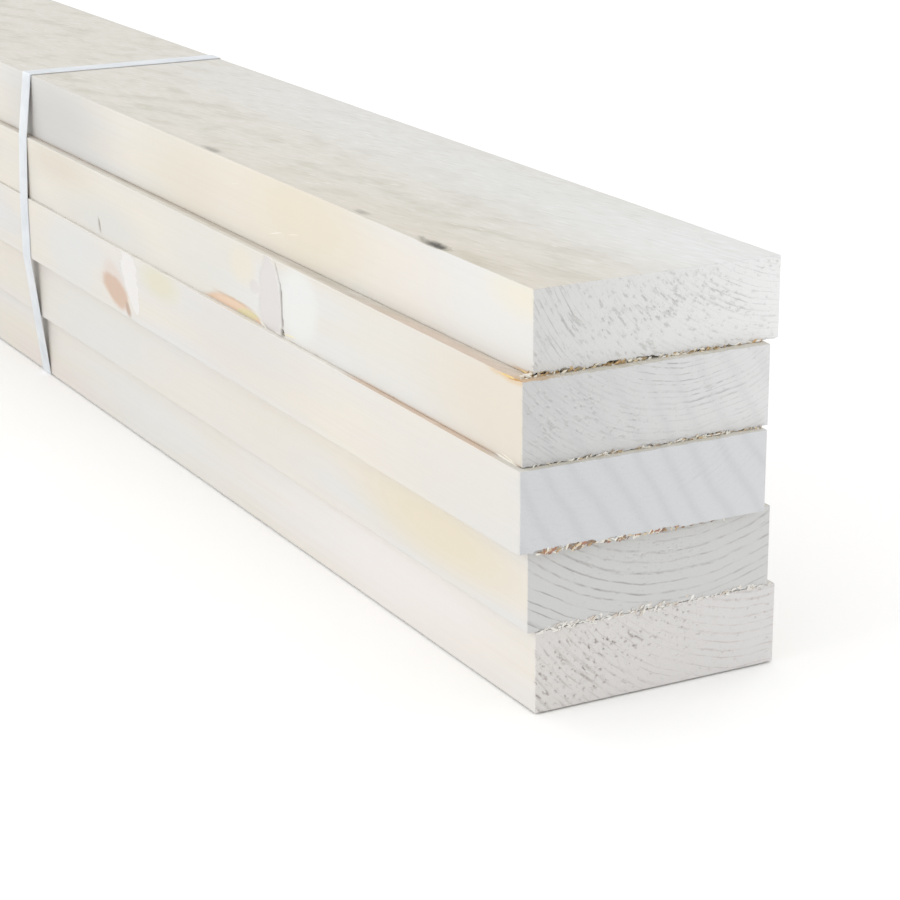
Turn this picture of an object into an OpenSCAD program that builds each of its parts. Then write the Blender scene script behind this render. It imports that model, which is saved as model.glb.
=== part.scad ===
// Stack of lumber: five planed softwood boards lying flat on one another,
// held together by two plastic straps. Millimetres, +Z up. X runs along the
// boards and the near end is at +X. The origin is under the middle of the
// stack, on the surface that it lies on.

/* [Boards] */
// Length that the boards are sold in
board_l = 2400; // [1200:100:4800]
// Width across the wide face
board_w = 145; // [95:1:245]
// Thickness of one board
board_t = 44; // [22:1:75]
// Rounding of the long edges
arris_r = 0.6; // [0.5:0.1:4]
// Sideways shift of each board at its middle, bottom board first
side_shift = [4.8, 0.1, -4.8, -4.2, -1.2]; // [-8:0.1:8]
// Lengthways shift of each board, bottom board first
end_shift = [-1, -1, 5, 0.5, -5]; // [-8:0.1:8]
// Angle in degrees by which each board lies askew, bottom board first
skew = [0, 0, -0.14, 0, 0.28]; // [-0.4:0.01:0.4]

/* [Bark pockets in the top board] */
// Distance of each pocket from the near end
pocket_from_end = [109, 194, 396]; // [40:1:600]
// Length of each pocket along the edge
pocket_l = [46, 22, 34]; // [16:1:80]
// Depth of each pocket at its middle
pocket_depth = [1.7, 0.7, 1.1]; // [0.3:0.1:2]
// Radius of the pockets' rounded bottom, across the board
pocket_r = 5; // [3:0.5:8]
// Distance of the pockets' centre line from the board's edge
pocket_inset = 3.2; // [1:0.1:10]

/* [Straps] */
// Width of a strap
strap_w = 16; // [9:0.5:32]
// Thickness of a strap
strap_t = 0.8; // [0.5:0.1:1.5]
// Distance of each strap's centre line from the near or far end
strap_from_end = 717; // [200:1:1100]
// Slack between a strap and the boards
strap_slack = 0.1; // [0.1:0.05:0.5]
// Length of the weld where a strap's two ends overlap
weld_l = 38; // [20:1:60]

/* [Hidden] */
$fn = 48;

arris_steps = 6;
top_board = len(side_shift) - 1;
boards_z = strap_t + strap_slack;
stack_h = len(side_shift) * board_t;
strap_x = board_l / 2 - strap_from_end;
weld_z = boards_z + stack_h / 2;

// Height of a board's underside above the floor
function board_z(i) = boards_z + i * board_t;

// Sideways place of a board's centre line at a distance x along the stack
function centre_y(i, x) = side_shift[i] + (x - end_shift[i]) * tan(skew[i]);

// Half of the room that a skewed board takes up along and across the stack
function half_x(i) = (board_l * cos(skew[i]) + board_w * abs(sin(skew[i]))) / 2;
function half_y(i) = (board_w * cos(skew[i]) + board_l * abs(sin(skew[i]))) / 2;
function half_slice(i) = board_w / cos(skew[i]) / 2;

// The stack's outermost edges, straps included, from which it is centred. The
// welds don't count: they lie at mid height, where the straps lean inwards.
strap_reach = strap_slack + strap_t;
every = [for (i = [0 : top_board]) i];
x_max = max([for (i = every) end_shift[i] + half_x(i)]);
x_min = min([for (i = every) end_shift[i] - half_x(i)]);
strap_y_max = max([for (i = every, x = [strap_x, -strap_x]) centre_y(i, x) + half_slice(i)]);
strap_y_min = min([for (i = every, x = [strap_x, -strap_x]) centre_y(i, x) - half_slice(i)]);
board_y_max = max([for (i = every) side_shift[i] + half_y(i)]);
board_y_min = min([for (i = every) side_shift[i] - half_y(i)]);
y_max = max(board_y_max, strap_y_max + strap_reach);
y_min = min(board_y_min, strap_y_min - strap_reach);
middle = [(x_max + x_min) / 2, (y_max + y_min) / 2, 0];

// Section of a board, with its four long edges rounded
function arris(y, z, from) =
    [for (k = [0 : arris_steps])
        let (a = from + 90 * k / arris_steps)
        [y + arris_r * cos(a), z + arris_r * sin(a)]];

function board_section() =
    let (y = board_w / 2 - arris_r, low = arris_r, high = board_t - arris_r)
    concat(arris(y, high, 0), arris(-y, high, 90), arris(-y, low, 180), arris(y, low, 270));

module straight_board() {
    rotate([90, 0, 90])
        linear_extrude(board_l, center = true)
            polygon(board_section());
}

// A hollow left by bark: a round-bottomed groove that follows a wide arc
module bark_pocket(from_end, length, depth) {
    arc_r = (length * length / 4 + depth * depth) / (2 * depth);
    translate([board_l / 2 - from_end, pocket_inset - board_w / 2, board_t + arc_r - depth])
        rotate([90, 0, 0])
            rotate_extrude()
                translate([arc_r - pocket_r, 0])
                    circle(pocket_r);
}

module board(i) {
    color("antiquewhite")
        translate([end_shift[i], side_shift[i], board_z(i)] - middle)
            rotate([0, 0, skew[i]])
                difference() {
                    straight_board();
                    if (i == top_board)
                        for (k = [0 : len(pocket_l) - 1])
                            bark_pocket(pocket_from_end[k], pocket_l[k], pocket_depth[k]);
                }
}

// Outline that a tight strap takes round the boards at a distance x along them
module girth(x) {
    hull()
        for (i = every)
            translate([centre_y(i, x) - half_slice(i), board_z(i)])
                square([2 * half_slice(i), board_t]);
}

module strap_layers(x, layers) {
    difference() {
        offset(r = strap_slack + layers * strap_t) girth(x);
        offset(r = strap_slack) girth(x);
    }
}

module strap(x) {
    color("whitesmoke")
        translate([x, 0, 0] - middle)
            rotate([90, 0, 90])
                linear_extrude(strap_w, center = true) {
                    strap_layers(x, 1);
                    intersection() {
                        strap_layers(x, 2);
                        translate([board_w / 4, weld_z - weld_l / 2])
                            square([board_w, weld_l]);
                    }
                }
}

board(0);  // board_1_bottom
board(1);  // board_2
board(2);  // board_3
board(3);  // board_4
board(4);  // board_5_top
strap(strap_x);  // strap_near
strap(-strap_x);  // strap_far
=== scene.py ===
import math

import bpy
import numpy as np
from mathutils import Matrix, Vector


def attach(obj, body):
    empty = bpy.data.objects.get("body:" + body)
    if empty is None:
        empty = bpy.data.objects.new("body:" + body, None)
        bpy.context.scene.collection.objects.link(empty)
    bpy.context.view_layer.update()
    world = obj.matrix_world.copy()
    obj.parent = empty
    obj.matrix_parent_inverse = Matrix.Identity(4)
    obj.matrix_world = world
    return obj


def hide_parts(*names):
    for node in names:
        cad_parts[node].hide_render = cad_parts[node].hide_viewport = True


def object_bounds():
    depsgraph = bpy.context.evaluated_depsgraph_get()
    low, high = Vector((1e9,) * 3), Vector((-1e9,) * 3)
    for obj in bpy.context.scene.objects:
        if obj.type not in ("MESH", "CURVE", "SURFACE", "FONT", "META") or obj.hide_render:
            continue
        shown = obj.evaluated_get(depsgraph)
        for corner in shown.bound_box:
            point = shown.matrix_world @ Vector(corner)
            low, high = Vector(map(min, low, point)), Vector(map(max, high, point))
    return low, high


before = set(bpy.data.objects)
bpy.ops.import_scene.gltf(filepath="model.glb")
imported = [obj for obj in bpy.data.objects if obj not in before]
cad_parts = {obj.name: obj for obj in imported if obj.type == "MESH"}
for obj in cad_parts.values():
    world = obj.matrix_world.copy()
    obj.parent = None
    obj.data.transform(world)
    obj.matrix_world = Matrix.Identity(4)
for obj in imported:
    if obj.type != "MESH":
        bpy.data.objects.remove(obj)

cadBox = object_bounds()
mm = 0.001
sharpTurn = 38     # degrees: faces that turn by more meet in an edge
boardNames = ["board_1_bottom", "board_2", "board_3", "board_4", "board_5_top"]
print("stage 1: packed model loaded")


def hexColour(code):
    # sRGB hex to the linear values that shaders want
    channels = [int(code[i:i + 2], 16) / 255 for i in (0, 2, 4)]
    return [c / 12.92 if c < 0.04045 else ((c + 0.055) / 1.055) ** 2.4 for c in channels] + [1.0]


def smoothNoise(spots, seed):
    # soft random hills between -1 and 1, one cell to a unit, the same each run
    base = np.floor(spots).astype(np.int64)
    ease = spots - base
    ease = ease * ease * (3 - 2 * ease)
    total = np.zeros(len(spots))
    for corner in range(8):
        step = np.array([corner & 1, corner >> 1 & 1, corner >> 2 & 1])
        share = np.prod(np.where(step, ease, 1 - ease), axis=1)
        # large factors stir a corner's place and the seed into one number, whose low half gives its height
        x, y, z = (base + step).T
        mixed = x * 73856093 ^ y * 19349663 ^ z * 83492791 ^ seed * 2654435761
        mixed = (mixed ^ mixed >> 13) * 1274126177 & 0xFFFFFFFF
        mixed = mixed ^ mixed >> 16
        total += share * ((mixed & 0xFFFF) / 32767.5 - 1)
    return total


def layeredNoise(spots, seed, layers=3):
    # hills upon hills, each layer half as wide and half as high as the one before
    total = np.zeros(len(spots))
    for layer in range(layers):
        total += smoothNoise(spots * 2 ** layer, seed + 17 * layer) / 2 ** layer
    return total / (2 - 2 ** (1 - layers))


def easeBetween(value, start, end):
    # 0 before start, 1 after end, smooth between
    share = np.clip((value - start) / (end - start), 0, 1)
    return share * share * (3 - 2 * share)


def addNode(material, kind, inputs=None, **settings):
    # one node with its settings; an input is a value, or the socket or node that feeds it, and a node
    # stands for its first output in use
    tree = material.node_tree
    node = tree.nodes.new("ShaderNode" + kind)
    for name, value in settings.items():
        setattr(node, name, value)
    for name, value in (inputs or {}).items():
        if isinstance(value, bpy.types.Node):
            value = next(output for output in value.outputs if output.enabled)
        if isinstance(value, bpy.types.NodeSocket):
            tree.links.new(value, node.inputs[name])
        else:
            node.inputs[name].default_value = value
    return node


def newMaterial(name):
    material = bpy.data.materials.new(name)
    material.use_nodes = True
    material.node_tree.nodes.clear()
    return material


def finishMaterial(material, surface):
    shader = addNode(material, "BsdfPrincipled", surface)
    addNode(material, "OutputMaterial", {"Surface": shader})
    return material


def rampStops(node, stops):
    # a new ramp has two stops already
    ramp = node.color_ramp
    while len(ramp.elements) < len(stops):
        ramp.elements.new(0.5)
    for element, (place, code) in zip(ramp.elements, stops):
        element.position = place
        element.color = hexColour(code)


def solidCorners(nodeName):
    # the corners of a CAD solid, in mm
    return np.array([v.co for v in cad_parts[nodeName].data.vertices]) / mm


def boardPlace(nodeName):
    # a board's centre line and size, from the corners of its two ends, in mm
    corners = solidCorners(nodeName)
    endZone = 3
    nearest = corners[corners[:, 0] > corners[:, 0].max() - endZone]
    farthest = corners[corners[:, 0] < corners[:, 0].min() + endZone]
    nearMiddle = (nearest.max(0) + nearest.min(0)) / 2
    farMiddle = (farthest.max(0) + farthest.min(0)) / 2
    run = nearMiddle - farMiddle
    angle = math.atan2(run[1], run[0])
    return {
        "angle": angle,
        "middle": (nearMiddle + farMiddle) / 2,
        "length": float(np.hypot(run[0], run[1])),
        "width": float(np.ptp(nearest[:, 1])) / math.cos(angle),
        "thick": float(np.ptp(corners[:, 2])),
        "under": float(corners[:, 2].min()),
    }


places = {name: boardPlace(name) for name in boardNames}
# marks on the long faces are measured from here, the near end of board_4
markPlane = places["board_4"]["middle"][0] + places["board_4"]["length"] / 2


# all lengths in mm
boardShape = {
    "arris": 0.3,            # rounding of the long edges
    "faceStep": 6.0,         # between points across the wide faces
    "rimWide": 9.0,          # along their rims the points are closer
    "rimStep": 1.3,
    "edgeStep": 1.0,         # between points across the narrow edges
    "nearEndStep": 0.5,      # between points of a cut end
    "farEndStep": 0.85,
    "firstRing": 3.0,        # from a cut end to the nearest ring of points round the board
    "cutStep": 2.5,          # between rings beside a cut end
    "cutStretch": 24,
    "nearStep": 5.0,         # between rings over the near stretch
    "nearStretch": 760,
    "farStep": 26.0,
    "endRound": 0.35,        # how far the rim of a cut end is worn back
    "sawnHollow": 0.18,      # how far the saw wandered on the wide faces
    "planedHollow": 0.05,
    "hollowLong": 70, "hollowWide": 26,
    "arrisWear": 0.15,       # dents in the long edges
    "dentLong": 14, "dentWide": 30,
    "rimPale": 6,            # the wide faces are paler this far in from their rims
    "rimShare": 0.8,
}

# "seed" starts a board's random patterns, each with a number of its own added to it
# "pith" is the heart of the tree, across and up from the middle of the board's underside, and "ringStep"
# the width of a year; ringShow and tornShow say how clearly years and torn cells show all over a cut end,
# and the spots, as (across, up, half across, half up, strength), where they show more; "bandShow" is how
# clearly the saw's strokes show, and "sawBand" their depth
# the tears follow the years as closely as "inRows" says, each "tearRun" long along a year and "tearDepth"
# deep, and "tearDark" of their colour is "tearTone", a dark tone that is partly painted shade in them
# a cut end goes from endTone at its left to a paler tone at its right, a painted gradient of light, with
# endLate in the hard wood of each year; the planed sides have sideTone, the sawn faces sawnTone and their
# planed rims rimTone
# "fineZones" are stretches with more points, for marks that need them: (from, to, step)
boards = {
    "board_1_bottom": {
        "seed": 11, "pith": (62, 132), "ringStep": 4.6, "sawBand": 0.02, "bandShow": 0.0,
        "ringShow": 0.35, "ringSpots": [(-40, 16, 44, 26, 0.3), (50, 20, 30, 30, 0.2)],
        "tornShow": 0.3, "tornSpots": [(-52, 18, 34, 30, 0.5), (-5, 30, 40, 16, 0.3), (19, 40, 8, 6, 0.6)],
        "inRows": 0.75, "tearTone": "87736e", "tearDark": 0.6, "tearRun": 1.5, "tearDepth": 0.7,
        "endTone": "d5d2cf", "endRightPaintedLight": "d7d5d4", "endLate": "b4aeaa",
        "sideTone": "d6d3cf", "sawnTone": "d1cec5", "rimTone": "d6d4d0",
        "fineZones": [],
    },
    "board_2": {
        "seed": 23, "pith": (18, 150), "ringStep": 5.4, "sawBand": 0.02, "bandShow": 0.0,
        "ringShow": 0.5, "ringSpots": [(-52, 18, 30, 22, 0.6), (-10, 14, 26, 8, 0.4), (46, 36, 30, 10, 0.2)],
        "tornShow": 0.2, "tornSpots": [(8, 28, 30, 12, 0.4), (-30, 30, 20, 10, 0.2)],
        "inRows": 0.4, "tearTone": "7c7775", "tearDark": 0.35, "tearRun": 2.7, "tearDepth": 0.3,
        "endTone": "c9c9c8", "endRightPaintedLight": "cccccb", "endLate": "9e9c9a",
        "sideTone": "d4d0cb", "sawnTone": "d1cec5", "rimTone": "d6d4ce",
        "fineZones": [],
    },
    "board_3": {
        "seed": 37, "pith": (-34, 160), "ringStep": 3.4, "sawBand": 0.1, "bandShow": 0.19,
        "ringShow": 0.12, "ringSpots": [(40, 30, 26, 14, 0.25)],
        "tornShow": 0.06, "tornSpots": [(46, 32, 22, 10, 0.2), (-50, 6, 24, 8, 0.2)],
        "inRows": 0.0, "tearTone": "909091", "tearDark": 0.3, "tearRun": 2.7, "tearDepth": 0.12,
        "endTone": "cbccce", "endRightPaintedLight": "d1d2d4", "endLate": "bcbfc1",
        "sideTone": "d1cfcc", "sawnTone": "d1cec5", "rimTone": "d5d4d0",
        "fineZones": [(488, 570, 1.1)],
    },
    "board_4": {
        "seed": 41, "pith": (23, 120), "ringStep": 3.0, "sawBand": 0.02, "bandShow": 0.12,
        "ringShow": 0.25, "ringSpots": [(12, 36, 22, 9, 0.75), (36, 26, 20, 12, 0.35), (-62, 8, 12, 9, 0.6)],
        "tornShow": 0.3, "tornSpots": [(-48, 26, 24, 20, 0.45), (-10, 14, 24, 10, 0.2)],
        "inRows": 0.2, "tearTone": "868483", "tearDark": 0.33, "tearRun": 2.7, "tearDepth": 0.35,
        "endTone": "c7c7c7", "endRightPaintedLight": "dbdbdb", "endLate": "a3a1a1",
        "sideTone": "d1cdc6", "sawnTone": "d3d0c6", "rimTone": "cecac2",
        "fineZones": [(234, 324, 1.1), (324, 394, 1.8), (568, 580, 1.1)],
    },
    "board_5_top": {
        "seed": 53, "pith": (88, 118), "ringStep": 3.1, "sawBand": 0.02, "bandShow": 0.0,
        "ringShow": 0.2, "ringSpots": [(-60, 26, 16, 20, 0.7), (48, 30, 24, 14, 0.4)],
        "tornShow": 0.5, "tornSpots": [(-20, 22, 40, 22, 0.4), (20, 30, 24, 14, 0.2)],
        "inRows": 0.1, "tearTone": "8b8a84", "tearDark": 0.36, "tearRun": 2.7, "tearDepth": 0.4,
        "endTone": "d0d0cf", "endRightPaintedLight": "e8e8e8", "endLate": "b1b1b0",
        "sideTone": "d3d1cc", "sawnTone": "d6d4cd", "rimTone": "d3d1cb",
        "fineZones": [(80, 138, 1.5)],
    },
}

# the worn gaps that show where two boards meet at the cut ends, in mm: "gap" goes from the left to the right
# of the end as (across, height), "depth" is how far in it runs, and "worn" the share of it that is worn into
# the boards; in it stand so many splinters of these tones, spread over so many times its height
jointGaps = {
    ("board_1_bottom", "board_2"): {
        "gap": [(-72, 1.0), (-55, 1.8), (-45, 1.2), (-35, 2.0), (-24, 1.2), (-14, 1.8), (-5, 2.6),
                (3, 1.8), (8, 0.6), (14, 2.2), (21, 2.0), (27, 0.4), (38, 0.6), (46, 2.2), (55, 1.8),
                (61, 0.3), (72, 0.2)],
        "depth": 2, "worn": 0.2, "splinters": 330, "spread": 1.9,
        "tones": ["ecebe6", "e6e3dd", "e2ded7", "d8cec2", "dcdad6", "e8e5df"],
    },
    ("board_2", "board_3"): {
        "gap": [(-72, 1.2), (-62, 2.0), (-46, 2.5), (-30, 2.3), (-26, 0.8), (-22, 1.6), (-14, 1.5),
                (-12, 0.8), (-2, 1.0), (0, 1.5), (4, 0.6), (10, 0.6), (12, 1.2), (18, 1.1), (22, 0.1),
                (72, 0.1)],
        "depth": 3.5, "worn": 0.9, "splinters": 190, "spread": 1.0,
        "tones": ["e9e4d8", "d9cab0", "b89b78", "98806a", "a87c69", "eceae3", "94806f"],
    },
    ("board_3", "board_4"): {
        "gap": [(-72, 0.4), (-40, 0.6), (-36, 1.3), (-16, 1.4), (-13, 0.4), (-5, 0.5), (-3, 1.5),
                (3, 1.5), (6, 0.4), (15, 0.5), (17, 1.4), (24, 1.3), (26, 0.5), (29, 1.8), (50, 1.7),
                (54, 0.5), (72, 0.7)],
        "depth": 4, "worn": 0.9, "splinters": 190, "spread": 1.0,
        "tones": ["e9e6dc", "dfd7c2", "cab593", "ac9a83", "eae8e1", "dad6cd"],
    },
    ("board_4", "board_5_top"): {
        "gap": [(-72, 2.0), (-60, 2.8), (-45, 2.2), (-20, 2.4), (-4, 1.9), (0, 0.9), (18, 1.0),
                (24, 1.7), (42, 1.6), (45, 0.15), (52, 0.15), (55, 1.3), (60, 0.8), (66, 1.5),
                (72, 0.8)],
        "depth": 3.5, "worn": 0.9, "splinters": 200, "spread": 1.0,
        "tones": ["e9e2d1", "dfcba6", "cbaa7a", "b0946c", "eceae3", "e2ddd1", "a3906f"],
    },
}

gapWear = {
    "offLower": 0.2, "offUpper": 0.8,     # how much of a gap each of its two boards gives
    "crumbWide": 2.8, "crumbLong": 20,    # mm over a crumb that broke off the rim, across and into the joint
    "fade": 8,                            # mm down a board's side until nothing is worn off
    "tone": "d2c0a2", "paintedShadeShare": 0.55,  # brownish within the gaps: partly yellowed wood, partly painted shade
    "crumbHigh": 1.3,                     # mm up the cut end over which its rim crumbles
}

# hollows that bark left in the top board, along its front upper edge, in mm
barkLook = {
    "inset": 3.2,          # from the board's side to their deepest line
    "round": 5.0,          # radius of their floor
    "tone": "4b4a46",
    "stainInset": 1.8, "stainWide": 3.4,
    "raggedLong": 6, "raggedWide": 1.5, "ragged": 0.35,
    "pockets": [
        {"fromEnd": 109, "long": 46, "deep": 1.7, "dark": 0.95},
        {"fromEnd": 194, "long": 22, "deep": 0.7, "dark": 0.4},
        {"fromEnd": 396, "long": 34, "deep": 1.1, "dark": 0.45},
    ],
}


def sidePlaces(half, radius, step, rimWide=0, rimStep=1):
    # places from one end of a section's side to the other, closer together near its rims and at its corners
    inner = half - radius - rimWide
    flat = np.linspace(-inner, inner, max(2, round(2 * inner / step)) + 1)
    rim = np.linspace(inner, half - radius, round(rimWide / rimStep) + 1)[1:]
    corner = half - np.array([0, 0.5]) * radius
    return np.concatenate([-corner, -rim[::-1], flat, rim, corner[::-1]])


def roundOff(y, z, width, thick, radius):
    # moves a place in a sharp section so that its corners come out round; also gives the way outwards
    y0 = np.clip(y, radius - width / 2, width / 2 - radius)
    z0 = np.clip(z, radius, thick - radius)
    a, b = y - y0, z - z0
    reach, straight = np.maximum(abs(a), abs(b)), np.hypot(a, b)
    share = np.where(straight > 0, reach / np.maximum(straight, 1e-9), 1)
    outY = np.where(straight > 0, a / np.maximum(straight, 1e-9), 0)
    outZ = np.where(straight > 0, b / np.maximum(straight, 1e-9), 0)
    return y0 + a * share, z0 + b * share, outY, outZ


def rimOrder(ys, zs):
    # once round a section: bottom, +Y side, top, -Y side; also how far round each place is
    n, m = len(ys), len(zs)
    steps = [(i, 0) for i in range(n - 1)] + [(n - 1, j) for j in range(m - 1)]
    steps += [(n - 1 - i, m - 1) for i in range(n - 1)] + [(0, m - 1 - j) for j in range(m - 1)]
    y = np.array([ys[i] for i, j in steps])
    z = np.array([zs[j] for i, j in steps])
    along = np.concatenate([[0], np.cumsum(np.hypot(np.diff(y), np.diff(z)))])
    return steps, y, z, along


def ringPlaces(length, look):
    # where along the board the rings of points stand, the fine near half and the coarse far half
    shape = boardShape
    fromNear = [shape["firstRing"]]
    while fromNear[-1] < length / 2:
        here = fromNear[-1]
        step = shape["nearStep"] if here < shape["nearStretch"] else shape["farStep"]
        if here < shape["cutStretch"]:
            step = shape["cutStep"]
        for start, end, fine in look["fineZones"]:
            if start <= here < end:
                step = fine
        fromNear.append(here + step)
    fromFar = [shape["firstRing"]]
    while fromFar[-1] < length / 2 - shape["farStep"]:
        here = fromFar[-1]
        step = min(shape["farStep"], 4 + here / 12)     # widens away from the far end
        fromFar.append(here + (shape["cutStep"] if here < shape["cutStretch"] else step))
    nearHalf = length / 2 - np.array(fromNear[:-1])
    farHalf = -length / 2 + np.array(fromFar)
    return np.concatenate([farHalf, nearHalf[::-1]])


def gapAt(name, upper, y):
    # how much of a worn gap comes off this board at its upper or lower side, and how far in it runs
    for (below, above), gap in jointGaps.items():
        if name == (below if upper else above):
            share = gap["worn"] * gapWear["offLower" if upper else "offUpper"]
            across, heights = zip(*gap["gap"])
            return np.interp(y, across, heights) * share, gap["depth"]
    return np.zeros_like(y), 1


def wearAtEnds(name, look, x, y, z, length, thick, paint):
    # how far the board's faces are worn down or up beside its cut ends; also paints the faces within the gaps
    # brownish, partly as painted shade
    change = np.zeros_like(x)
    for end, seed in ((1, 0), (-1, 5)):
        fromEnd = length / 2 - end * x
        for upper in (True, False):
            size, depth = gapAt(name, upper, end * y)
            side = np.full_like(y, seed + upper)
            spot = np.c_[y / gapWear["crumbWide"], side, fromEnd / gapWear["crumbLong"]]
            ragged = 0.6 + 0.9 * layeredNoise(spot, look["seed"] + 60 + seed)
            worn = size * (0.15 + 1.2 * easeBetween(ragged, 0.3, 0.9)) * np.exp(-(fromEnd / depth) ** 2)
            fromRim = abs(z - (thick if upper else 0))
            change += (-worn if upper else worn) * np.clip(1 - fromRim / gapWear["fade"], 0, 1) ** 2
            # painted shade: faces deep in a worn gap take a brownish tone where shade falls, over the wood's
            # own yellowing
            inside = easeBetween(worn, 0.3, 0.9) * (fromRim < 0.5) * (fromEnd > 1)
            paintOver(paint, inside * gapWear["paintedShadeShare"], gapWear["tone"])
    return change


# marks on the long side that faces the front (-Y), in mm: "at" is the distance from board_4's near end and
# the height above the board's underside, "half" half the length and height, "lean" how far a mark moves
# along per mm of height, "taper" how much wider its top is, "deep" how far it is hollowed out, and "soft"
# and "ragged" how its rim fades or frays
# the broad soft patches set each side's tone: partly the wood's own patchy colour, partly a painted falloff
# of light, paler near the near end and greyer farther along
sideMarks = {
    "board_1_bottom": [
        {"at": (150, 22), "half": (160, 40), "soft": 0.9, "colour": "dedad9", "strength": 0.7},
        {"at": (520, 20), "half": (150, 30), "soft": 0.9, "colour": "d2d4d5", "strength": 0.6},
    ],
    "board_2": [
        {"at": (98, 24), "half": (105, 20), "soft": 0.7, "colour": "d5cbb4", "strength": 0.8},
        {"at": (330, 20), "half": (120, 30), "soft": 0.9, "colour": "d3cec4", "strength": 0.5},
        {"at": (600, 20), "half": (130, 40), "soft": 0.9, "colour": "ced0cf", "strength": 0.6},
    ],
    "board_3": [
        {"at": (60, 24), "half": (110, 40), "soft": 0.9, "colour": "cfcdc9", "strength": 0.7},
        {"at": (330, 26), "half": (110, 30), "soft": 0.9, "colour": "cbc7c3", "strength": 0.6},
        {"at": (462, 36), "half": (36, 12), "soft": 0.7, "colour": "cfcab3", "strength": 0.8},
        {"at": (625, 24), "half": (60, 30), "soft": 0.8, "colour": "cdcfd0", "strength": 0.7},
        {"at": (542, 19), "half": (20, 15), "lean": 0.5, "soft": 0.4, "colour": "cfc3bb", "strength": 0.8,
         "deep": 0.2},
        {"at": (540, 13), "half": (22, 10.5), "lean": 0.9, "taper": 0.2, "soft": 0.28, "colour": "c3a793",
         "strength": 0.9, "deep": 0.5, "ragged": 0.12},
        {"at": (519, 6), "half": (5, 5), "lean": 0.6, "soft": 0.5, "colour": "a88c77", "strength": 0.8},
        {"at": (512, 26), "half": (13, 21), "lean": 0.42, "taper": 0.3, "soft": 0.1, "colour": "d9d7d6",
         "strength": 1.0, "deep": 0.25, "ragged": 0.4},
    ],
    "board_4": [
        {"at": (30, 22), "half": (90, 40), "soft": 0.9, "colour": "d0c8ba", "strength": 0.85},
        {"at": (160, 24), "half": (60, 30), "soft": 0.9, "colour": "d1cdc3", "strength": 0.6},
        {"at": (256, 24), "half": (26, 24), "soft": 0.45, "colour": "d5d7d5", "strength": 0.9},
        {"at": (400, 26), "half": (70, 30), "soft": 0.9, "colour": "cbccc7", "strength": 0.6},
        {"at": (335, 31), "half": (20, 13), "soft": 0.5, "colour": "d4cec0", "strength": 0.8},
        {"at": (560, 12), "half": (80, 18), "soft": 0.8, "colour": "cacac5", "strength": 0.8},
        # painted light: a pale strip along the lower rim lifts the shade in the joint with board_3
        {"at": (470, 0), "half": (280, 0.9), "soft": 0.3, "colour": "e2e0db", "strength": 0.9},
        {"at": (650, 34), "half": (70, 14), "soft": 0.8, "colour": "c9c0b1", "strength": 0.6},
        {"at": (296, 21), "half": (15, 25), "lean": 0.05, "taper": -0.35, "soft": 0.1, "colour": "cbc7c6",
         "strength": 0.9, "ragged": 0.22, "deep": 0.5},
        {"at": (317, 21), "half": (7, 4.5), "soft": 0.2, "colour": "cbc7c6", "strength": 0.9, "deep": 0.4},
        {"at": (350, -0.5), "half": (43, 7.6), "soft": 0.16, "colour": "d8bca3", "strength": 0.95,
         "deep": 0.8, "ragged": 0.15},
        {"at": (330, 2), "half": (15, 3.4), "lean": -2.2, "soft": 0.3, "colour": "cec69c", "strength": 0.9},
        {"at": (350, 6.8), "half": (34, 0.9), "soft": 0.4, "colour": "c2a78c", "strength": 0.6},
        {"at": (283.8, 35), "half": (0.9, 9), "lean": 0.5, "soft": 0.5, "colour": "9a908b", "strength": 0.7,
         "deep": 0.5},
        {"at": (280, 16), "half": (1.5, 15), "lean": 0.06, "soft": 0.35, "colour": "56423c", "strength": 0.9,
         "deep": 1.3, "ragged": 0.35},
        {"at": (279.6, 2), "half": (2.4, 2.8), "soft": 0.4, "colour": "39342d", "strength": 0.95,
         "deep": 1.6},
        {"at": (571.8, 8), "half": (1.5, 5.2), "lean": 0.27, "soft": 0.4, "colour": "8c847d", "strength": 0.9,
         "deep": 0.5},
        {"at": (12, 43.5), "half": (26, 2.4), "soft": 0.5, "colour": "ceb591", "strength": 0.7,
         "ragged": 0.5},
        # painted shade: a brownish line along the lower rim near the end, where the joint with board_3 lies
        # in shade
        {"at": (80, 0), "half": (118, 0.9), "soft": 0.3, "colour": "c6b19c", "strength": 0.8},
    ],
    "board_5_top": [
        {"at": (40, 22), "half": (80, 40), "soft": 0.9, "colour": "d5d4d1", "strength": 0.8},
        {"at": (12, 38), "half": (40, 12), "soft": 0.9, "colour": "d9d3c0", "strength": 0.7},
        {"at": (140, 22), "half": (50, 30), "soft": 0.9, "colour": "d6d0c8", "strength": 0.7},
        {"at": (262, 28), "half": (95, 34), "soft": 0.8, "colour": "d2c8b4", "strength": 0.75},
        {"at": (430, 22), "half": (90, 30), "soft": 0.9, "colour": "cdc6b6", "strength": 0.6},
        {"at": (660, 22), "half": (110, 34), "soft": 0.9, "colour": "b7b8b9", "strength": 0.75},
        {"at": (10, 0.3), "half": (18, 1.6), "soft": 0.5, "colour": "bb9565", "strength": 0.7, "ragged": 0.5},
        # painted shade: a greyer line along the lower rim, where the joint with board_4 lies in shade
        {"at": (400, 0), "half": (400, 0.8), "soft": 0.3, "colour": "c6c0b8", "strength": 0.6},
    ],
}

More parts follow.
